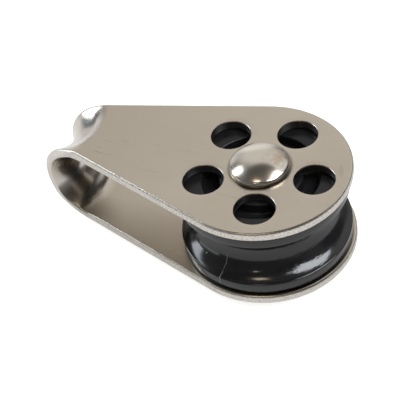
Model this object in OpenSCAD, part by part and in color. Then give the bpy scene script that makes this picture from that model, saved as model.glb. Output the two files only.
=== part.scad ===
// Single sheave block for small boat running rigging.
// One stainless strap is folded into a pair of teardrop cheeks and a dished
// head eye; a moulded sheave turns on a sleeve held by one riveted axle.
// Frame: origin on the axle, half way between the cheeks. +Z runs up the
// axle to the factory rivet head, -X points to the folded head of the strap.
// All sizes are in millimetres.

/* [Strap] */
// Width of a cheek across its round end
cheek_w = 27.9; // [27:0.1:30]
// Thickness of the strap sheet
strap_t = 1.5; // [1.2:0.05:1.8]
// Clear space between the two cheeks
cheek_gap = 12.2; // [11.6:0.1:13]
// Distance from the axle to the axis of the head bend
bend_x = 29.1; // [27:0.1:33]
// Width of the strap where the bend starts
neck_w = 12.0; // [11:0.1:14]
// Width of the strap at the tip of the bend
tip_w = 8.6; // [8:0.1:10.5]
// Depth of the saddle pressed into the outside of the bend
saddle_depth = 2.1; // [1.2:0.1:2.4]
// How far before the bend axis the saddle starts
saddle_lead = 0.9; // [0.6:0.1:1.2]

/* [Cheek holes] */
// Number of round holes in each cheek
hole_count = 5; // [3:1:5]
// Diameter of each cheek hole
hole_d = 6.4; // [4:0.1:6.6]
// Radius of the circle through the hole centres
hole_circle_r = 8.75; // [8.6:0.05:9]

/* [Sheave] */
// Outside diameter of the sheave
sheave_d = 26.7; // [25:0.1:27]
// Gap between each side of the sheave hub and its cheek
side_gap = 0.12; // [0.08:0.01:0.3]
// How much lower the sheave rim is than its hub, each side
rim_step = 0.12; // [0.05:0.01:0.3]
// Radius of the rope groove's section
groove_r = 4.2; // [3.6:0.1:4.5]
// Depth of the rope groove below the sheave's outside
groove_depth = 3.1; // [2.6:0.1:3.5]
// Outside diameter of the thrust hub
hub_d = 12.8; // [11:0.1:13.5]
// Outside diameter of the ring-shaped recess round the hub
recess_d = 18.0; // [16:0.1:18.2]
// Depth of the recess in each side of the sheave
recess_depth = 1.6; // [0.8:0.1:1.8]

/* [Axle] */
// Diameter of the rivet shank
shank_d = 5.0; // [4:0.1:5.4]
// Outside diameter of the bearing sleeve
sleeve_d = 7.0; // [6.6:0.1:8]
// Radial running clearance between sleeve and sheave
run_gap = 0.05; // [0.02:0.01:0.1]
// Diameter of the domed factory head
head_d = 9.3; // [8.5:0.1:10]
// Height of the domed factory head
head_h = 2.2; // [2:0.05:2.6]
// Radius of the shoulder round the factory head
head_shoulder_r = 0.85; // [0.6:0.05:1.2]
// Diameter of the formed tail under the lower cheek
tail_d = 8.4; // [7:0.1:9.5]
// Height of the formed tail
tail_h = 1.2; // [0.8:0.05:1.6]

/* [Hidden] */
$fn = 96;
overcut = 1;                       // how far a cutting or trimming shape runs past the part

// Strap
cheek_r = cheek_w / 2;
z_in = cheek_gap / 2;              // inside face of a cheek
z_out = z_in + strap_t;            // outside face of a cheek
neck_half = neck_w / 2;
tip_half = tip_w / 2;
tip_x = bend_x + z_out;            // furthest point of the bend
run_on = 2;                        // the outline runs on this far past the bend
far_x = tip_x + run_on;
far_half = tip_half - run_on * (neck_half - tip_half) / (tip_x - bend_x);
bulk_w = 60;                       // width of the folded bar, wider than any cheek
bulk_reach = 40;                   // its +X end, beyond the cheeks' round ends

// where the straight side of a cheek touches its round end
tangent_angle = atan2(neck_half, -bend_x) - acos(cheek_r / norm([bend_x, neck_half]));
tangent_x = cheek_r * cos(tangent_angle);
tangent_y = cheek_r * sin(tangent_angle);

// Saddle: a round-bottomed channel round the outside of the bend. Its floor
// is an arc about the bend axis, its section an arc through both strap edges.
floor_r = z_out - saddle_depth;
section_r = (tip_half ^ 2 + saddle_depth ^ 2) / (2 * saddle_depth);
ring_r = floor_r + section_r;      // bend axis to the section's centre
start_r = norm([saddle_lead, z_out]);  // bend axis to the saddle's start on a cheek
// angle from Z towards -X at which the channel ends, so its end ball meets the start
end_angle = acos((start_r ^ 2 + ring_r ^ 2 - section_r ^ 2) / (2 * start_r * ring_r))
          - atan2(saddle_lead, z_out);

// Sheave
sheave_r = sheave_d / 2;
hub_r = hub_d / 2;
recess_r = recess_d / 2;
hub_half = z_in - side_gap;
rim_half = hub_half - rim_step;
web_half = rim_half - recess_depth;
web_overlap = 1;                   // the web runs this far into hub and rim
rim_chamfer = 0.35;

// Axle
shank_play = 0.03;                 // radial, in the sleeve and cheeks
bore_d = shank_d + 2 * shank_play;
sleeve_end_gap = 0.01;             // between each sleeve end and its cheek
sleeve_h = cheek_gap - 2 * sleeve_end_gap;
bore_r = sleeve_d / 2 + run_gap;   // sheave bore
tail_shoulder_r = 0.42 * tail_h;
shoulder_lift = 0.4;               // height of a shoulder's centre, as a share of its radius

// one cheek's outline, running on past the bend
module strap_outline() {
    circle(r = cheek_r);
    polygon([
        [tangent_x, tangent_y], [-bend_x, neck_half], [-far_x, far_half],
        [-far_x, -far_half], [-bend_x, -neck_half], [tangent_x, -tangent_y]
    ]);
}

// a bar that is half round about the bend axis at its -X end
module folded_bar(radius, width) {
    translate([-bend_x, 0, 0])
        rotate([90, 0, 0])
            cylinder(r = radius, h = width, center = true);
    translate([-bend_x, -width / 2, -radius])
        cube([bend_x + bulk_reach, width, 2 * radius]);
}

// channel that dishes the bend, closed by a ball at each end
module saddle_channel(radius) {
    translate([-bend_x, 0, 0])
        rotate([90, 0, 0])
            rotate([0, 0, 90 + end_angle])
                rotate_extrude(angle = 180 - 2 * end_angle)
                    translate([ring_r, 0])
                        circle(r = radius);
    for (side = [-1, 1])
        translate([-bend_x - ring_r * sin(end_angle), 0, side * ring_r * cos(end_angle)])
            sphere(r = radius);
}

// ring of round holes and the axle hole, through both cheeks
module cheek_holes() {
    cut_h = 2 * z_out + 4 * overcut;
    for (i = [0 : hole_count - 1])
        rotate([0, 0, i * 360 / hole_count])
            translate([hole_circle_r, 0, 0])
                cylinder(d = hole_d, h = cut_h, center = true);
    cylinder(d = bore_d, h = cut_h, center = true);
}

module strap() {
    color([0.71, 0.68, 0.64])
    difference() {
        intersection() {
            translate([0, 0, -z_out - overcut])
                linear_extrude(height = 2 * (z_out + overcut))
                    strap_outline();
            folded_bar(z_out, bulk_w);
        }
        saddle_channel(section_r);
        // the inside space, kept one sheet thickness clear of the saddle
        difference() {
            folded_bar(z_in, bulk_w + 2 * overcut);
            saddle_channel(section_r + strap_t);
        }
        cheek_holes();
    }
}

module sheave_section() {
    difference() {
        union() {
            // hub
            translate([bore_r, -hub_half])
                square([hub_r - bore_r, 2 * hub_half]);
            // web between the recesses
            translate([hub_r - web_overlap, -web_half])
                square([recess_r - hub_r + 2 * web_overlap, 2 * web_half]);
            // rim
            polygon([
                [recess_r, -rim_half], [sheave_r - rim_chamfer, -rim_half],
                [sheave_r, -rim_half + rim_chamfer], [sheave_r, rim_half - rim_chamfer],
                [sheave_r - rim_chamfer, rim_half], [recess_r, rim_half]
            ]);
        }
        translate([sheave_r - groove_depth + groove_r, 0])
            circle(r = groove_r);
    }
}

module sheave() {
    color([0.05, 0.05, 0.055])
    rotate_extrude()
        sheave_section();
}

module bearing_sleeve() {
    color([0.78, 0.77, 0.75])
    difference() {
        cylinder(d = sleeve_d, h = sleeve_h, center = true);
        cylinder(d = bore_d, h = cheek_gap + 2 * overcut, center = true);
    }
}

// section of a domed head standing on the X axis: a crown arc that runs
// smoothly into a round shoulder, which tucks in again at the seat
module head_section(diameter, height, shoulder_r) {
    shoulder_x = diameter / 2 - shoulder_r;
    shoulder_y = shoulder_r * shoulder_lift;
    rise = height - shoulder_y;
    crown_r = (shoulder_x ^ 2 + rise ^ 2 - shoulder_r ^ 2) / (2 * (rise - shoulder_r));
    // where the crown meets the shoulder
    touch_x = shoulder_x * crown_r / (crown_r - shoulder_r);
    intersection() {
        union() {
            intersection() {
                translate([0, height - crown_r])
                    circle(r = crown_r, $fn = 180);
                square([touch_x, height + overcut]);
            }
            translate([shoulder_x, shoulder_y])
                circle(r = shoulder_r);
        }
        square([diameter, height + overcut]);
    }
}

// a domed head seated on the upper cheek
module rivet_end(diameter, height, shoulder_r) {
    translate([0, 0, z_out])
        rotate_extrude()
            head_section(diameter, height, shoulder_r);
}

module axle_rivet() {
    color([0.80, 0.78, 0.75])
    union() {
        cylinder(d = shank_d, h = 2 * z_out, center = true);
        rivet_end(head_d, head_h, head_shoulder_r);
        mirror([0, 0, 1])
            rivet_end(tail_d, tail_h, tail_shoulder_r);
    }
}

strap();
sheave();
bearing_sleeve();
axle_rivet();
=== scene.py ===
"""A small pulley block: a steel strap folded round a black plastic sheave, on a riveted axle.

The axle is Z through the origin. The strap's two cheeks lie above and below the sheave,
parallel to XY, with their round ends toward +X and the dished bend joining them at -X.
Sizes are in millimetres up to the meshes; shader and stage lengths are in metres.
"""

import math

import bmesh
import bpy
import numpy as np
from mathutils import Matrix, Vector
from mathutils.geometry import delaunay_2d_cdt


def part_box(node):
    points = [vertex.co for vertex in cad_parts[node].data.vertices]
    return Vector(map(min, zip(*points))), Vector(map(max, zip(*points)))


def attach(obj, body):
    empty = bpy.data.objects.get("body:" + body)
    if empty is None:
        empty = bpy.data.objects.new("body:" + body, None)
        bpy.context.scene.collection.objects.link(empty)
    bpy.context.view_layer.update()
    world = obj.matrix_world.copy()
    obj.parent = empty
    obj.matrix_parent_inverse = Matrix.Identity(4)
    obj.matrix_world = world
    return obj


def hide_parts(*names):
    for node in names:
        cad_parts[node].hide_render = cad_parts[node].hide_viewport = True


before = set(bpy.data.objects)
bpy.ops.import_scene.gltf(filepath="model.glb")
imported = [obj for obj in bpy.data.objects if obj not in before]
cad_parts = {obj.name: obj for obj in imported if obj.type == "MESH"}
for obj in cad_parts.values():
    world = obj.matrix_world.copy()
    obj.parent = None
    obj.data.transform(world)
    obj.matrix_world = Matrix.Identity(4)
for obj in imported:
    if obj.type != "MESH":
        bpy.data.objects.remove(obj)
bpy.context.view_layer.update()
MM = 0.001

# ---------------------------------------------------------------- sizes
strap_lo, strap_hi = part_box("strap")
END_R = strap_hi.x / MM             # round end of a cheek
Z_OUT = strap_hi.z / MM             # outside of a cheek
T = 1.5                             # sheet thickness
BEND_X = -strap_lo.x / MM - Z_OUT   # bend axis, from the axle toward -X
NECK, TIP = 6.0, 4.3                # half widths at the bend's start and tip
DEPTH = 2.1                         # saddle pressed into the bend
EDGE = 0.40                         # edge radius of the sheet
HOLE_R, HOLE_PITCH_R = 3.08, 8.75   # the five holes of a cheek and their circle
PIN_R = 2.53                        # axle hole of a cheek and bore of the sleeve
HOLE_EDGE = 0.17                    # edge radius of every hole
SHANK_R = 2.5                       # rivet

sheave_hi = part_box("sheave")[1]
SHEAVE_R, HUB_H = sheave_hi.x / MM, sheave_hi.z / MM
RIM_H = HUB_H - 0.12                # half heights of hub and rim
GROOVE_R, GROOVE_DEPTH = 4.2, 3.1
BORE, HUB_R = 3.55, 6.4
RECESS_R, RECESS_DEPTH = 9.0, 1.6   # ring recess between hub and rim
DRAFT = 0.12                        # lean of the recess walls

sleeve_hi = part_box("bearing_sleeve")[1]
rivet_lo, rivet_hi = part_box("axle_rivet")


def add_object(name, data):
    ob = bpy.data.objects.new(name, data)
    bpy.context.scene.collection.objects.link(ob)
    return ob


# ---------------------------------------------------------------- strap surface
# The blank is described by its length along the strap from the middle of the bend
# (positive on the upper cheek) and by y across it. Its outer face is the plain fold
# pushed in by the saddle; the inner face lies one thickness below a softer version.
QUARTER = math.pi / 2 * (Z_OUT - T / 2)   # length of a quarter turn of the bend
AXLE_ALONG = QUARTER + BEND_X
DENSE_END = QUARTER + 3.4                 # the regular grid of the mesh ends here
DENSE_X = -BEND_X + DENSE_END - QUARTER
CREST_R = 6.1                             # crest line of the saddle, a circle in the blank
CREST = QUARTER + 0.9
# crest, steepness and softness of the saddle, in the middle and at the rims
OUTER = (CREST, 1.3, 0.5, 1.7)
INNER = (CREST - 1.9, 1.6, 1.4, 2.0)

# the straight sides run from the neck to a tangent of the round end
TAN_ANGLE = math.atan2(NECK, -BEND_X) - math.acos(END_R / math.hypot(BEND_X, NECK))
TAN_X, TAN_Y = END_R * math.cos(TAN_ANGLE), END_R * math.sin(TAN_ANGLE)
SLOPE = (TAN_Y - NECK) / (TAN_X + BEND_X)


def smoothstep(value, start, end):
    k = np.clip((value - start) / (end - start), 0, 1)
    return k * k * (3 - 2 * k)


def half_width(along):
    a = np.abs(np.asarray(along, float))
    x = -BEND_X + a - QUARTER
    bend = TIP + (NECK - TIP) * np.minimum(a / QUARTER, 1.0) ** 1.8
    round_end = np.sqrt(np.maximum(END_R * END_R - x * x, 0.0))
    side = np.where(x < TAN_X, NECK + (x + BEND_X) * SLOPE, round_end)
    return np.where(a < QUARTER, bend, side)


def within_crest(along, y, crest):
    """Distance inside the crest line."""
    a, y = np.abs(along), np.abs(y)
    centre = crest - CREST_R
    return CREST_R - np.where(a > centre, np.hypot(a - centre, y), y)


def dish(along, y, shape):
    """Depth of the saddle: a soft minimum of its end wall and its channel."""
    crest, steep, soft_mid, soft_rim = shape
    soft = soft_mid + (soft_rim - soft_mid) * smoothstep(np.abs(y), 1.5, 5.0)
    inset = within_crest(along, y, crest)
    blend = np.where(inset <= -soft, 0.0, (inset + soft) ** 2 / (4 * soft))
    wall = steep * np.where(inset >= soft, inset, blend)
    width = half_width(np.minimum(np.abs(along), QUARTER))
    channel = DEPTH * (1 - (y / width) ** 2)
    used = (wall > 1e-7) & (np.abs(channel) > 1e-7)
    wall, size = np.where(used, wall, 1.0), np.where(used, np.abs(channel), 1.0)
    return np.where(used, np.sign(channel) * (wall ** -2 + size ** -2) ** (-1 / 2), 0.0)


def radial(along):
    """x and z of the fold's outward direction."""
    angle = math.pi / 2 * (1 - np.minimum(np.abs(along) / QUARTER, 1.0))
    return -np.sin(angle), np.where(along >= 0, 1.0, -1.0) * np.cos(angle)


def skin(along, y, shape):
    nx, nz = radial(along)
    radius = Z_OUT - dish(along, y, shape)
    straight = np.maximum(np.abs(along) - QUARTER, 0.0)
    return np.stack([-BEND_X + straight + radius * nx, y, radius * nz], -1)


def unit(v):
    return v / np.maximum(np.linalg.norm(v, axis=-1, keepdims=True), 1e-12)


def lean(along, y):
    """Direction of the sheet's thickness: it tips where the dish flares the rims."""
    nx, nz = radial(along)
    a = np.abs(along)
    width = half_width(np.minimum(a, QUARTER))
    slope = 2 * DEPTH * y / width ** 2 * (1 - smoothstep(a, 3.5, CREST + 1.5))
    return unit(np.stack([nx, -slope, nz], -1))


def sheet(along, y, depth):
    """A point of the strap, depth below its outer face."""
    k = (depth / T)[..., None]
    return (1 - k) * skin(along, y, OUTER) + k * (skin(along, y, INNER) - T * lean(along, y))


# ---------------------------------------------------------------- strap mesh
END_STEPS, SIDE_STEPS = 112, 22     # half the round end, one straight side
BEND_COLS, BEND_ROWS = 200, 56      # regular grid over the bend
HOLE_STEPS, EDGE_STEPS = 96, 6
FILL_STEP = 1.6                     # spacing of the points inside a cheek


class Shell:
    def __init__(self):
        self.points, self.faces = [], []

    def point(self, along, y, depth, out=0.0, normal=1.0, out_along=0.0, out_y=0.0):
        """out, normal: shares of the outward direction, which is (out_along, out_y) in
        the blank, and of the sheet's normal in the shading normal."""
        self.points.append((along, y, depth, out, normal, out_along, out_y))
        return len(self.points) - 1

    def face(self, ids, flipped=False):
        self.faces.append(tuple(reversed(ids)) if flipped else tuple(ids))

    def rim(self, loop, edge):
        """Rounded rim of the sheet along a loop; returns its outer and inner rows."""
        curve = [math.pi / 2 * i / EDGE_STEPS for i in range(EDGE_STEPS + 1)]
        # outward, depth, outward share, normal share
        rows = [(-edge + edge * math.sin(t), edge - edge * math.cos(t), math.sin(t), math.cos(t))
                for t in curve]
        rows += [(0.0, T * k, 1.0, 0.0) for k in (0.4, 0.6)]
        rows += [(-edge + edge * math.sin(t), T - edge + edge * math.cos(t),
                  math.sin(t), -math.cos(t)) for t in reversed(curve)]
        rings = [[self.point(along + shift * oa, y + shift * oy, depth, out, normal, oa, oy)
                  for along, y, oa, oy in loop] for shift, depth, out, normal in rows]
        for a, b in zip(rings[:-1], rings[1:]):
            for i in range(len(loop)):
                j = (i + 1) % len(loop)
                self.face((a[i], b[i], b[j], a[j]))
        return rings[0], rings[-1]

    def solve(self):
        """Vertices, normals, and faces turned to agree with the normals."""
        along, y, depth, out, normal, oa, oy = np.array(self.points, float).T
        verts = sheet(along, y, depth)
        h = 4e-3
        across = np.cross(sheet(along + h, y, depth) - sheet(along - h, y, depth),
                          sheet(along, y + h, depth) - sheet(along, y - h, depth))
        outward = unit(sheet(along + h * oa, y + h * oy, depth)
                       - sheet(along - h * oa, y - h * oy, depth) + 1e-15)
        normals = unit(out[:, None] * outward + normal[:, None] * unit(across))
        faces = []
        for face in self.faces:
            p = verts[list(face)]
            area = np.cross(p[1] - p[0], p[2] - p[0])
            if len(face) == 4:
                area = area + np.cross(p[2] - p[0], p[3] - p[0])
            agrees = float(area @ normals[list(face)].sum(0)) > 0
            faces.append(face if agrees else tuple(reversed(face)))
        return verts, normals, faces


def side_outline():
    """+y edge of the blank from the lower cheek's end to the upper one's, as (along, y,
    outward along, outward y), and the indices where the bend's grid begins and ends."""
    def plan(x, y, out_x, out_y, up):
        return up * (QUARTER + x + BEND_X), y, up * out_x, out_y

    def round_end(i, up):
        a = TAN_ANGLE * i / END_STEPS
        return plan(END_R * math.cos(a), END_R * math.sin(a), math.cos(a), math.sin(a), up)

    def straight(i, up):
        x = TAN_X + (DENSE_X - TAN_X) * i / SIDE_STEPS
        size = math.hypot(SLOPE, 1)
        return plan(x, NECK + (x + BEND_X) * SLOPE, -SLOPE / size, 1 / size, up)

    side = [round_end(i, -1) for i in range(END_STEPS + 1)]
    side += [straight(i, -1) for i in range(1, SIDE_STEPS)]
    first = len(side)
    for i in range(BEND_COLS + 1):
        along = -DENSE_END + 2 * DENSE_END * i / BEND_COLS
        h = 1e-3
        slope = float(half_width(along + h) - half_width(along - h)) / (2 * h)
        size = math.hypot(slope, 1)
        side.append((along, float(half_width(along)), -slope / size, 1 / size))
    last = len(side) - 1
    side += [straight(i, 1) for i in range(SIDE_STEPS - 1, 0, -1)]
    side += [round_end(i, 1) for i in range(END_STEPS, -1, -1)]
    return side, first, last


def punch_holes(shell, up):
    """Rims of a cheek's holes, as (centre x, centre y, radius of the flat's edge, rows)."""
    angles = [math.radians(72 * i) for i in range(5)]
    places = [(HOLE_PITCH_R * math.cos(a), HOLE_PITCH_R * math.sin(a), HOLE_R) for a in angles]
    holes = []
    for cx, cy, r in places + [(0, 0, PIN_R)]:
        loop = []
        for k in range(HOLE_STEPS):
            a = -2 * math.pi * k / HOLE_STEPS
            x, y = cx + r * math.cos(a), cy + r * math.sin(a)
            loop.append((up * (QUARTER + x + BEND_X), y, -up * math.cos(a), -math.sin(a)))
        if up < 0:
            loop.reverse()
        holes.append((cx, cy, r + HOLE_EDGE, shell.rim(loop, HOLE_EDGE)))
    return holes


def in_hole(x, y, holes, scale=1.0, gap=0.0):
    return any(math.hypot(x - cx, y - cy) < r * scale + gap for cx, cy, r, _ in holes)


def fill_cheek(shell, border, holes, up, layer):
    """Triangulates one face of a cheek; layer is 0 for the outer face, 1 for the inner."""
    points, edges, index = [], [], []
    for loop in [border] + [rows[layer] for *_, rows in holes]:
        base = len(points)
        for k, vertex in enumerate(loop):
            points.append(Vector(shell.points[vertex][:2]))
            index.append(vertex)
            edges.append((base + k, base + (k + 1) % len(loop)))
    # inner points keep the triangles even
    for x in np.arange(DENSE_X + 1.0, END_R - 1.0, FILL_STEP):
        width = float(half_width(AXLE_ALONG + x))
        for y in np.arange(-14.4, 14.5, FILL_STEP):
            if abs(y) > width - 1.1 or in_hole(x, y, holes, gap=1.0):
                continue
            along = up * (AXLE_ALONG + x)
            points.append(Vector((along, y)))
            index.append(shell.point(along, y, T * layer, normal=1.0 - 2 * layer))
    flat, _, triangles, origins, _, _ = delaunay_2d_cdt(points, edges, [], 1, 1e-6)
    for tri in triangles:
        a, b, c = (flat[k] for k in tri)
        along, y = (a.x + b.x + c.x) / 3, (a.y + b.y + c.y) / 3
        if in_hole(abs(along) - QUARTER - BEND_X, y, holes, scale=0.9995):
            continue
        area = (b.x - a.x) * (c.y - a.y) - (c.x - a.x) * (b.y - a.y)
        shell.face([index[origins[k][0]] for k in tri], flipped=(area < 0) != (layer == 1))


def build_strap():
    shell = Shell()
    side, first, last = side_outline()
    # the +y side, then the -y side back, sharing the two end points
    outline = side + [(along, -y, oa, -oy) for along, y, oa, oy in side[-2:0:-1]]
    edge_rows = shell.rim(outline, EDGE)
    holes = {up: punch_holes(shell, up) for up in (1, -1)}

    for layer, row in enumerate(edge_rows):
        # mirror[i] is the -y point opposite the side point i
        mirror = [row[-i % len(outline)] for i in range(len(side))]
        cols = []
        for i in range(first, last + 1):
            along, y = shell.points[row[i]][:2]
            inside = [shell.point(along, y * (-1 + 2 * j / BEND_ROWS), T * layer,
                                  normal=1.0 - 2 * layer) for j in range(1, BEND_ROWS)]
            cols.append([mirror[i], *inside, row[i]])
        for a, b in zip(cols[:-1], cols[1:]):
            for j in range(BEND_ROWS):
                shell.face((a[j], b[j], b[j + 1], a[j + 1]), flipped=layer == 1)
        upper = row[last:len(side)] + mirror[last:-1][::-1] + cols[-1][1:-1]
        lower = row[first::-1] + mirror[1:first + 1] + cols[0][1:-1]
        fill_cheek(shell, upper, holes[1], 1, layer)
        fill_cheek(shell, lower, holes[-1], -1, layer)

    verts, normals, faces = shell.solve()
    along, y, depth, out = np.array(shell.points, float).T[:4]
    me = bpy.data.meshes.new("strap_shell")
    me.from_pydata((verts * MM).tolist(), [], faces)
    me.update()
    corners = np.zeros(len(me.loops), np.int32)
    me.loops.foreach_get("vertex_index", corners)
    blank = (np.stack([along, y], -1) * MM)[corners].astype(np.float32)
    me.uv_layers.new(name="blank").data.foreach_set("uv", blank.ravel())
    for name, values in (
        ("rim", np.clip(out * 1.4, 0, 1)),
        ("inside", depth / T),
        ("bend", np.clip((within_crest(along, y, CREST) + 0.5) / 1.2, 0, 1)),
    ):
        attribute = me.attributes.new(name, "FLOAT", "POINT")
        attribute.data.foreach_set("value", values.astype(np.float32))
    me.polygons.foreach_set("use_smooth", [True] * len(me.polygons))
    me.normals_split_custom_set_from_vertices(normals.tolist())
    return add_object("strap_shell", me)


# ---------------------------------------------------------------- turned pieces
def arc(cx, cz, r, start, end, steps):
    angles = [math.radians(start + (end - start) * i / steps) for i in range(steps + 1)]
    return [(cx + r * math.cos(a), cz + r * math.sin(a)) for a in angles]


def fillet(before, corner, after, r, steps=5):
    """Rounds a corner between its two neighbours."""
    before, corner, after = Vector(before), Vector(corner), Vector(after)
    u, v = (before - corner).normalized(), (after - corner).normalized()
    half = u.angle(v) / 2
    reach = r / math.tan(half)
    centre = corner + (u + v).normalized() * (r / math.sin(half))
    first, last = corner + u * reach - centre, corner + v * reach - centre
    start, end = math.atan2(first.y, first.x), math.atan2(last.y, last.x)
    while end - start > math.pi:
        end -= 2 * math.pi
    while end - start < -math.pi:
        end += 2 * math.pi
    angles = [start + (end - start) * i / steps for i in range(steps + 1)]
    return [(centre.x + r * math.cos(a), centre.y + r * math.sin(a)) for a in angles]


def lathe(name, profile, segments, sharp=32):
    """Turns a closed loop of (r, z) about Z. A point at r = 0 is one vertex."""
    verts, rings = [], []
    for r, z in profile:
        if r < 1e-7:
            rings.append([len(verts)] * segments)
            verts.append((0, 0, z * MM))
        else:
            rings.append(list(range(len(verts), len(verts) + segments)))
            for k in range(segments):
                a = 2 * math.pi * k / segments
                verts.append((r * math.cos(a) * MM, r * math.sin(a) * MM, z * MM))
    faces = []
    for a, b in zip(rings, rings[1:] + rings[:1]):
        for k in range(segments):
            j = (k + 1) % segments
            face = tuple(dict.fromkeys((a[k], a[j], b[j], b[k])))
            if len(face) > 2:
                faces.append(face)
    me = bpy.data.meshes.new(name)
    me.from_pydata(verts, [], faces)
    me.validate()
    me.update()
    me.polygons.foreach_set("use_smooth", [True] * len(me.polygons))
    ob = add_object(name, me)
    bm = bmesh.new()
    bm.from_mesh(me)
    bmesh.ops.recalc_face_normals(bm, faces=bm.faces)
    bm.to_mesh(me)
    bm.free()
    me.set_sharp_from_angle(angle=math.radians(sharp))
    return ob


def build_sheave():
    groove_x = SHEAVE_R - GROOVE_DEPTH + GROOVE_R
    lip_sin = math.sqrt(GROOVE_R ** 2 - (groove_x - SHEAVE_R) ** 2) / GROOVE_R
    lip_angle = math.degrees(math.asin(lip_sin))
    lip = (SHEAVE_R, GROOVE_R * lip_sin)
    floor_h = RIM_H - RECESS_DEPTH
    # upper half, from the bore outwards
    corners = [(BORE, 0), (BORE, HUB_H), (HUB_R, HUB_H), (HUB_R + DRAFT, floor_h),
               (RECESS_R - DRAFT, floor_h), (RECESS_R, RIM_H), (SHEAVE_R, RIM_H), lip]
    upper = [corners[0]]
    for i, r in enumerate((0.25, 0.3, 0.35, 0.35, 0.22, 0.35), 1):
        upper += fillet(corners[i - 1], corners[i], corners[i + 1], r)
    groove = arc(groove_x, 0, GROOVE_R, 180 - lip_angle + 3.5, 180, 26)
    upper += fillet(corners[-2], lip, groove[0], 0.22) + groove
    lower = [(r, -z) for r, z in reversed(upper[1:-1])]
    return lathe("sheave_wheel", upper + lower, segments=256, sharp=40)


def build_sleeve():
    h, r = sleeve_hi.z / MM, sleeve_hi.x / MM
    corners = [(PIN_R, -h), (r, -h), (r, h), (PIN_R, h)]
    profile = []
    for i in range(4):
        profile += fillet(corners[i - 1], corners[i], corners[(i + 1) % 4], 0.12, steps=3)
    return lathe("sleeve_tube", profile, segments=128)


def head_profile(diameter, height, edge_r):
    """Domed rivet head on z = 0, from its top down round its edge."""
    tuck = 0.4                      # height of the edge round's centre, in edge radii
    cx, cz = diameter / 2 - edge_r, edge_r * tuck
    crown = (cx * cx + (height - cz) ** 2 - edge_r * edge_r) / (2 * (height - cz - edge_r))
    tangent = math.degrees(math.atan2(cz - (height - crown), cx))
    points = arc(0, height - crown, crown, 90, tangent, 22)
    return points + arc(cx, cz, edge_r, tangent, math.degrees(math.asin(-tuck)), 22)[1:]


def build_rivet():
    top_h, low_h = rivet_hi.z / MM - Z_OUT, -rivet_lo.z / MM - Z_OUT
    top = [(r, z + Z_OUT) for r, z in head_profile(9.3, top_h, edge_r=0.85)]
    low = [(r, -z - Z_OUT) for r, z in head_profile(8.4, low_h, edge_r=low_h * 0.42)]
    profile = top + [(SHANK_R, Z_OUT), (SHANK_R, -Z_OUT)] + low[::-1]
    return lathe("axle_rivet_body", profile, segments=192)


strap = build_strap()
sheave = build_sheave()
sleeve = build_sleeve()
rivet = build_rivet()


# ---------------------------------------------------------------- shader helpers
class Nodes:
    """Adds nodes to a material or world. Arguments are sockets or plain values."""

    def __init__(self, owner):
        owner.use_nodes = True
        self.tree = owner.node_tree

    def feed(self, node, inputs):
        for key, value in inputs.items():
            if isinstance(value, bpy.types.NodeSocket):
                self.tree.links.new(value, node.inputs[key])
            else:
                node.inputs[key].default_value = value

    def shade(self, inputs):
        self.feed(self.tree.nodes["Principled BSDF"], inputs)

    def node(self, kind, inputs={}, **props):
        node = self.tree.nodes.new("ShaderNode" + kind)
        for key, value in props.items():
            setattr(node, key, value)
        self.feed(node, inputs)
        return node.outputs

    def math(self, operation, *values, clamp=False):
        return self.node("Math", dict(enumerate(values)), operation=operation, use_clamp=clamp)[0]

    def add(self, a, b):
        return self.math("ADD", a, b)

    def sub(self, a, b):
        return self.math("SUBTRACT", a, b)

    def mul(self, a, b, clamp=False):
        return self.math("MULTIPLY", a, b, clamp=clamp)

    def hypot(self, a, b):
        return self.math("POWER", self.add(self.mul(a, a), self.mul(b, b)), 0.5)

    def vector(self, operation, *values):
        return self.node("VectorMath", dict(enumerate(values)), operation=operation)["Value"]

    def object_space(self):
        return self.node("TexCoord")["Object"]

    def attribute(self, name):
        return self.node("Attribute", attribute_name=name)["Fac"]

    def scaled(self, vector, scale, turn=0.0):
        inputs = {"Vector": vector, "Scale": scale, "Rotation": (0, 0, turn)}
        return self.node("Mapping", inputs)[0]

    def noise(self, vector, scale, detail, rough=0.5, turn=0.0, warp=0.0):
        inputs = {"Vector": self.scaled(vector, scale, turn), "Scale": 1.0, "Detail": detail,
                  "Roughness": rough, "Distortion": warp}
        return self.node("TexNoise", inputs)[0]

    def remap(self, value, span, to=(0.0, 1.0), curve="LINEAR"):
        inputs = dict(enumerate((value, *span, *to)))
        return self.node("MapRange", inputs, interpolation_type=curve)[0]

    def ramp(self, value, *stops):
        """Grey ramp through (position, level) stops."""
        node = self.tree.nodes.new("ShaderNodeValToRGB")
        self.feed(node, {0: value})
        elements = node.color_ramp.elements
        while len(elements) < len(stops):
            elements.new(0.5)
        for element, (position, level) in zip(elements, stops):
            element.position = position
            element.color = (level, level, level, 1)
        return node.outputs[0]

    def mix(self, mask, under, over, amount=None):
        """Lays a colour over another where mask is 1, thinned to amount."""
        if amount is not None:
            mask = self.mul(mask, amount)
        under, over = ((*c, 1) if isinstance(c, tuple) else c for c in (under, over))
        return self.node("Mix", {0: mask, 6: under, 7: over}, data_type="RGBA")[2]

    def bump(self, height, strength, distance, normal=None):
        inputs = {"Height": height, "Strength": strength, "Distance": distance}
        if normal is not None:
            inputs["Normal"] = normal
        return self.node("Bump", inputs)[0]


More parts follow.
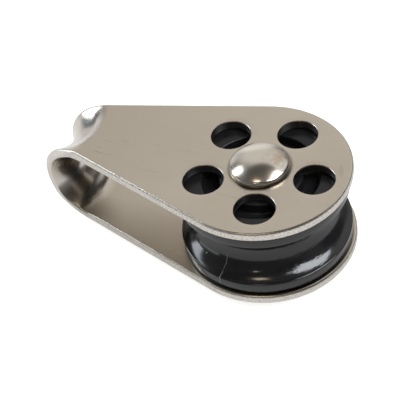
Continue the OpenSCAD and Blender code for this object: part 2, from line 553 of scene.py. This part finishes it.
# ---------------------------------------------------------------- materials
# faint strokes on the upper cheek, most near the bend, and a wide painted shade beside the hole at
# +X: ends x0, y0, x1, y1 and half width in mm, darkness
STROKES_AND_SMUDGE_SHADE = [
    (-26.3, -1.8, -23.9, -2.1, 0.10, 0.35), (-23.4, -1.0, -21.4, -1.3, 0.09, 0.60),
    (-26.6, -4.6, -23.6, -4.8, 0.13, 0.50), (-24.8, -4.7, -22.3, -4.6, 0.09, 0.38),
    (-26.6, -3.5, -25.0, -3.7, 0.10, 0.28), (-22.6, -2.4, -20.9, -2.5, 0.08, 0.22),
    (-9.6, 7.6, -7.9, 7.9, 0.06, 0.25), (10.6, -3.4, 11.5, -1.9, 0.05, 0.22),
    # painted shade: a dark smudge where the rolled edge of the hole at +X reflects the dark
    (11.2, 4.4, 12.5, 1.4, 0.55, 0.22),
]


def hole_distance(net, position):
    """Distance from the centre of the nearest of the five holes."""
    x, y, _ = net.node("SeparateXYZ", {0: position})
    angle = net.math("ARCTAN2", y, x)
    radius = net.hypot(x, y)
    fifth = 2 * math.pi / 5
    nearest = net.mul(net.math("ROUND", net.math("DIVIDE", angle, fifth)), fifth)
    angle = net.sub(angle, nearest)
    from_x = net.sub(net.mul(radius, net.math("COSINE", angle)), HOLE_PITCH_R * MM)
    return net.hypot(from_x, net.mul(radius, net.math("SINE", angle)))


def add_strokes_and_shade(net, blank, base):
    ragged = net.ramp(net.noise(blank, scale=(1800, 5200, 1), detail=2), (0.3, 0.35), (0.55, 1))
    # each listed stroke darkens the cheek; the last one is painted shade
    for x0, y0, x1, y1, wide, dark in STROKES_AND_SMUDGE_SHADE:
        local = net.node("Mapping", {
            0: blank,
            1: ((AXLE_ALONG + (x0 + x1) / 2) * MM, (y0 + y1) / 2 * MM, 0),
            2: (0, 0, math.atan2(y1 - y0, x1 - x0)),
            3: (math.hypot(x1 - x0, y1 - y0) / 2 * MM, wide * MM, 1),
        }, vector_type="TEXTURE")[0]
        far = net.vector("LENGTH", local)
        dark_mark = net.remap(far, span=(0.35, 1.0), to=(dark, 0.0), curve="SMOOTHSTEP")
        base = net.mix(net.mul(dark_mark, ragged), base, over=(0.20, 0.18, 0.155))
    return base


def steel_strap():
    mat = bpy.data.materials.new("strap_steel")
    net = Nodes(mat)
    blank = net.node("UVMap", uv_map="blank")[0]
    position = net.object_space()
    rim, bend, inside = (net.attribute(name) for name in ("rim", "bend", "inside"))
    from_hole = hole_distance(net, position)
    # grain runs along the strap and is fine across it
    grain = net.noise(blank, scale=(90, 5200, 1), detail=3, rough=0.6)
    fine = net.noise(blank, scale=(260, 14000, 1), detail=2)
    cloud = net.noise(position, scale=(90, 130, 90), detail=4, rough=0.55)
    blotch = net.noise(position, scale=(260, 300, 260), detail=3)
    scratch = net.noise(blank, scale=(55, 1500, 1), detail=2, rough=0.4, turn=0.035)
    scratch = net.ramp(scratch, (0.0, 0), (0.66, 0), (0.70, 1), (0.74, 0), (1.0, 0))
    base = net.mix(net.ramp(cloud, (0.3, 0), (0.75, 1)),
                   under=(0.555, 0.505, 0.435), over=(0.60, 0.55, 0.48))
    base = net.mix(grain, base, over=(0.46, 0.41, 0.35), amount=0.25)
    base = net.mix(scratch, base, over=(0.33, 0.30, 0.27), amount=0.22)
    # painted shade: the bend end is a little darker than the round end, and a dark ring lies round
    # the axle
    x = net.node("SeparateXYZ", {0: position})[0]
    bend_end_shade = net.remap(x, span=(-0.027, -0.010), to=(1.0, 0.0))
    base = net.mix(bend_end_shade, base, over=(0.50, 0.455, 0.392), amount=0.75)
    base = add_strokes_and_shade(net, blank, base)
    # painted shade: a dark ring where the rivet head sits on the cheek, out to 5.2 mm from the
    # axle
    from_axle = net.vector("LENGTH", net.scaled(position, (1, 1, 0)))
    axle_ring_shade = net.remap(from_axle, span=(0.0046, 0.0052), to=(1.0, 0.0), curve="SMOOTHSTEP")
    base = net.mix(axle_ring_shade, base, over=(0.10, 0.09, 0.08), amount=0.7)
    # speckled rims; painted shade darkens the walls of the holes
    speck = net.noise(position, scale=(3800, 3800, 3800), detail=2, rough=0.6)
    edge = net.mix(net.ramp(speck, (0.42, 0), (0.60, 1)),
                   under=(0.53, 0.50, 0.46), over=(0.74, 0.71, 0.665))
    base = net.mix(rim, base, edge, amount=0.85)
    wall = net.mul(net.remap(from_hole, span=(0.00312, 0.00326), to=(1.0, 0.0)), rim)
    base = net.mix(wall, base, over=(0.27, 0.26, 0.25), amount=0.8)
    # painted sheen: the bend is painted lighter so its reflections come out brighter
    base = net.mix(bend, base, over=(0.64, 0.60, 0.55), amount=0.6)

    # roughness: 0.25 plus grain and blotches, duller flat rims, smoother walls and bend
    rough = net.add(net.mul(grain, 0.10), 0.25)
    rough = net.add(rough, net.mul(net.sub(blotch, 0.5), 0.10))
    flat = net.remap(rim, span=(0.55, 1.0), to=(-0.05, 0.14))
    flat = net.mul(flat, net.mul(rim, 3.0, clamp=True))
    rough = net.add(rough, net.sub(flat, net.mul(wall, 0.08)))
    polish = net.sub(0.11, net.mul(inside, 0.06))
    rough = net.sub(rough, net.mul(bend, polish))

    normal = net.bump(grain, strength=0.10, distance=0.00006)
    normal = net.bump(fine, strength=0.08, distance=0.00003, normal=normal)
    pits = net.noise(position, scale=(2600, 2600, 2600), detail=2)
    normal = net.bump(pits, strength=net.mul(rim, 0.30), distance=0.00004, normal=normal)
    normal = net.bump(blotch, strength=0.25, distance=0.00003, normal=normal)
    # the punch rolled each hole's edge in a little
    roll = net.remap(from_hole, span=(0.0031, 0.0041), curve="SMOOTHERSTEP")
    normal = net.bump(roll, strength=1.0, distance=0.00005, normal=normal)
    net.shade({
        "Base Color": base, "Metallic": 1.0, "Roughness": rough, "Normal": normal,
        "Anisotropic": net.mul(net.sub(1.0, rim), 0.45),
        "Tangent": net.node("Tangent", direction_type="UV_MAP", uv_map="blank")[0],
    })
    return mat


def steel_rivet():
    mat = bpy.data.materials.new("rivet_steel")
    net = Nodes(mat)
    position = net.object_space()
    cloud = net.noise(position, scale=(170, 170, 170), detail=3)
    spot = net.noise(position, scale=(900, 900, 900), detail=3, rough=0.6)
    base = net.mix(net.ramp(cloud, (0.35, 0), (0.7, 1)),
                   under=(0.62, 0.585, 0.53), over=(0.70, 0.67, 0.62))
    # faint tea stain toward +X; masks start 0.4 mm or 1 mm from the axle
    x, y, z = net.node("SeparateXYZ", {0: position})
    side = net.mul(net.sub(x, 0.0004), 420, clamp=True)
    stain = net.mul(side, net.ramp(spot, (0.42, 0), (0.62, 1)))
    base = net.mix(stain, base, over=(0.46, 0.34, 0.22), amount=0.60)
    # browner toward -X and -Y
    side = net.mul(net.sub(-0.0004, x), 500, clamp=True)
    low = net.mul(net.sub(-0.0010, y), 900, clamp=True)
    brown = net.mul(net.mul(side, low), net.ramp(spot, (0.38, 0), (0.66, 1)))
    base = net.mix(brown, base, over=(0.42, 0.31, 0.20), amount=0.5)
    # painted shade: dark where the heads meet the cheeks
    seat_shade = net.remap(net.math("ABSOLUTE", z), to=(1.0, 0.0), curve="SMOOTHSTEP",
                     span=(Z_OUT * MM + 0.0001, Z_OUT * MM + 0.0004))
    base = net.mix(seat_shade, base, over=(0.07, 0.06, 0.05), amount=0.8)
    normal = net.bump(cloud, strength=0.18, distance=0.00006)
    normal = net.bump(spot, strength=0.12, distance=0.00002, normal=normal)
    net.shade({"Base Color": base, "Metallic": 1.0, "Normal": normal,
               "Roughness": net.add(0.14, net.mul(spot, 0.10))})
    return mat


def steel_sleeve():
    mat = bpy.data.materials.new("sleeve_steel")
    net = Nodes(mat)
    rings = net.noise(net.object_space(), scale=(300, 300, 9000), detail=2)
    base = net.mix(rings, under=(0.56, 0.54, 0.51), over=(0.68, 0.66, 0.63))
    net.shade({"Base Color": base, "Metallic": 1.0, "Roughness": 0.28,
               "Normal": net.bump(rings, strength=0.2, distance=0.00003)})
    return mat


def plastic_black():
    mat = bpy.data.materials.new("sheave_plastic")
    net = Nodes(mat)
    position = net.object_space()
    x, y, z = net.node("SeparateXYZ", {0: position})
    angle = net.math("ARCTAN2", y, x)
    # the groove unrolled at a radius of 11 mm
    unrolled = net.node("CombineXYZ", {0: net.mul(angle, 0.011), 1: z, 2: 0.0})[0]
    base = net.mix(net.noise(position, scale=(300, 300, 300), detail=3),
                   under=(0.0065, 0.0065, 0.0075), over=(0.012, 0.012, 0.013))
    # a pale worn line along Z at -1.735 rad, wavering up to 0.35 mm, and a pale dot
    waver = net.noise(position, scale=(0, 0, 900), detail=3, rough=0.6)
    waver = net.mul(net.sub(waver, 0.5), 0.0007)
    off_line = net.math("ABSOLUTE", net.add(net.mul(net.add(angle, 1.735), 0.012), waver))
    line = net.remap(off_line, span=(0.00002, 0.00011), to=(1.0, 0.0))
    off_middle = net.math("ABSOLUTE", net.add(z, 0.0034))
    length = net.remap(off_middle, span=(0.0016, 0.0021), to=(1.0, 0.0))
    worn = net.ramp(net.noise(position, scale=(1500, 1500, 1500), detail=2), (0.38, 0.1), (0.6, 1))
    mark = net.mul(net.mul(line, length), worn)
    dot = net.vector("DISTANCE", position, (-0.0056, -0.0100, -0.0030))
    dot = net.remap(dot, span=(0.00008, 0.00020), to=(1.0, 0.0))
    mark = net.math("MAXIMUM", net.mul(mark, 0.5), dot)
    base = net.mix(mark, base, over=(0.42, 0.41, 0.39))
    cloud = net.noise(position, scale=(500, 500, 900), detail=3, rough=0.55)
    # the side faces, seen through the cheek holes, are duller than the groove
    reach = net.vector("LENGTH", net.scaled(position, (1, 1, 0)))
    face = net.remap(reach, span=(0.0127, 0.0130), to=(1.0, 0.0))
    face = net.mul(face, net.remap(net.math("ABSOLUTE", z), span=(0.0038, 0.0041)))
    rough = net.add(net.add(0.09, net.mul(cloud, 0.10)), net.mul(face, 0.12))
    # rope scuffs: short ripples round the groove, strongest in patches near -0.66 rad
    ripple = net.noise(unrolled, scale=(1500, 3400, 1), detail=2, warp=0.6)
    off = net.math("ABSOLUTE", net.add(angle, 0.66))
    here = net.remap(off, span=(0.16, 0.42), to=(1.0, 0.0), curve="SMOOTHSTEP")
    patch = net.ramp(net.noise(unrolled, scale=(420, 420, 1), detail=2), (0.36, 0.12), (0.62, 1))
    scuff = net.mul(net.add(net.mul(here, 0.9), 0.05), patch)
    normal = net.bump(ripple, strength=scuff, distance=0.00005)
    normal = net.bump(cloud, strength=0.2, distance=0.00004, normal=normal)
    net.shade({"Base Color": base, "IOR": 1.5, "Roughness": rough, "Normal": normal,
               "Specular IOR Level": net.sub(0.5, net.mul(face, 0.24))})
    return mat


for ob, mat, body, node, slot in (
    (strap, steel_strap(), "block_frame", "strap", "strap_steel"),
    (sheave, plastic_black(), "sheave", "sheave", "sheave_plastic"),
    (sleeve, steel_sleeve(), "block_frame", "bearing_sleeve", "sleeve_steel"),
    (rivet, steel_rivet(), "block_frame", "axle_rivet", "rivet_steel"),
):
    ob.data.materials.append(mat)
    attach(ob, body)
    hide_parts(node)

# ---------------------------------------------------------------- floor
FLOOR_HALF = 1.6
FLOOR_SEEN, FLOOR_GLOW = 0.82, 0.38     # emission to the camera and to all other rays


def build_floor():
    z = rivet_lo.z - 0.00002
    me = bpy.data.meshes.new("floor")
    corners = ((-1, -1), (1, -1), (1, 1), (-1, 1))
    me.from_pydata([(x * FLOOR_HALF, y * FLOOR_HALF, z) for x, y in corners], [], [(0, 1, 2, 3)])
    floor = add_object("floor", me)
    mat = bpy.data.materials.new("floor_white")
    net = Nodes(mat)
    seen = net.node("LightPath")["Is Camera Ray"]
    net.shade({
        "Base Color": (0.55, 0.55, 0.55, 1), "Roughness": 0.95, "Specular IOR Level": 0.0,
        "Emission Color": (1.0, 0.995, 0.985, 1),
        "Emission Strength": net.add(net.mul(seen, FLOOR_SEEN - FLOOR_GLOW), FLOOR_GLOW),
    })
    me.materials.append(mat)


build_floor()

# ---------------------------------------------------------------- lights
PANEL_DIST = 0.5
COOL, WARM = (0.92, 0.96, 1.0), (1.0, 0.85, 0.62)
# name, azimuth, elevation, half angles across and up, radiance, colour, turn (degrees)
PANELS = (
    ("window_left", -88.5, 31, 7.0, 20, 7.0, (0.88, 0.94, 1.0), 24),
    ("window_low", -66, 4, 17, 4, 1.6, COOL, 0),
    ("panel_high", 95, 55.5, 18, 12, 11.5, (0.92, 0.955, 1.0), 0),
    ("lamp_a", 3, 41, 2.2, 1.8, 9, WARM, 0),
    ("lamp_b", -2, 70, 4.4, 4.2, 8.5, WARM, 0),
)


def direction(azimuth, elevation):
    """Azimuth 0 is toward -Y and 90 toward +X."""
    a, e = math.radians(azimuth), math.radians(elevation)
    return Vector((math.sin(a) * math.cos(e), -math.cos(a) * math.cos(e), math.sin(e)))


def panel(name, azimuth, elevation, half_w, half_h, radiance, colour, turn):
    """A soft box facing the block, sized by its half angles as seen from there."""
    light = bpy.data.lights.new(name, "AREA")
    light.shape = "RECTANGLE"
    light.size = 2 * PANEL_DIST * math.tan(math.radians(half_w))
    light.size_y = 2 * PANEL_DIST * math.tan(math.radians(half_h))
    light.energy = radiance * math.pi * light.size * light.size_y
    light.color = colour
    ob = add_object(name, light)
    aim = direction(azimuth, elevation)
    facing = aim.to_track_quat("Z", "Y").to_matrix().to_4x4()
    spin = Matrix.Rotation(math.radians(turn), 4, "Z")
    ob.matrix_world = Matrix.Translation(aim * PANEL_DIST) @ facing @ spin
    return ob


panels = {row[0]: panel(*row) for row in PANELS}
# the strap doesn't take this one, or its flat cheek mirrors it as plain white
group = bpy.data.collections.new("panel_high_skips")
group.objects.link(strap)
panels["panel_high"].light_linking.receiver_collection = group
group.collection_objects[0].light_linking.link_state = "EXCLUDE"

# ---------------------------------------------------------------- world
AMBIENT = (0.26, 0.252, 0.24)
SIDE_DARK, GAP_DARK = (0.055, 0.050, 0.045), (0.09, 0.11, 0.14)
# soft patches laid over the ambient in turn: azimuth, elevation, half angles of the
# full patch and of its faded edge (degrees), colour
PATCHES = (
    (10, 25, 30, 75, (0.15, 0.145, 0.14)),      # wide, toward -Y
    (-157, 38, 19, 38, (0.80, 0.768, 0.716)),   # toward +Y and -X
    (158, 44, 10, 24, (0.85, 0.835, 0.81)),     # toward +Y and +X
    (30, 80, 31, 41, (0.09, 0.083, 0.075)),     # overhead
    (127, 12, 17, 28, SIDE_DARK),
    (56, 42, 12, 26, SIDE_DARK),
    (-114, 0, 8, 30, (0.82, 0.82, 0.81)),       # low, toward -X
    (-101, 14, 6, 13, GAP_DARK),
    (-105, 29, 4, 10, GAP_DARK),
    (-150, 6, 9, 20, (1.05, 1.03, 1.0)),        # low, toward +Y and -X
)

world = bpy.data.worlds.new("studio")
bpy.context.scene.world = world
net = Nodes(world)
view = net.node("TexCoord")["Generated"]
sky = AMBIENT
for azimuth, elevation, inner, outer, colour in PATCHES:
    closeness = net.vector("DOT_PRODUCT", view, tuple(direction(azimuth, elevation)))
    span = (math.cos(math.radians(outer)), math.cos(math.radians(inner)))
    sky = net.mix(net.remap(closeness, span, curve="SMOOTHSTEP"), sky, colour)
net.feed(net.tree.nodes["Background"], {0: sky, 1: 1.0})

# ---------------------------------------------------------------- camera
CAM_AZIMUTH, CAM_ELEVATION, CAM_ROLL = 32.374, 44.515, -10.106
CAM_DIST, CAM_LEFT, CAM_UP = 200.593, 9.912, 0.372      # mm from the axle's middle

cam = bpy.data.cameras.new("camera")
cam.sensor_width = 36.0
cam.lens = 117.5301
cam.clip_start = 0.01
camera = add_object("camera", cam)
back = direction(CAM_AZIMUTH, CAM_ELEVATION)
turn, roll = math.radians(CAM_AZIMUTH), math.radians(CAM_ROLL)
level = Vector((math.cos(turn), math.sin(turn), 0))
upright = back.cross(level)
right = level * math.cos(roll) + upright * math.sin(roll)
top = -level * math.sin(roll) + upright * math.cos(roll)
place = (back * CAM_DIST - right * CAM_LEFT + top * CAM_UP) * MM
camera.matrix_world = Matrix((*zip(right, top, back, place), (0, 0, 0, 1)))
bpy.context.scene.camera = camera
bpy.context.scene.view_settings.view_transform = "Standard"
bpy.context.scene.view_settings.look = "None"
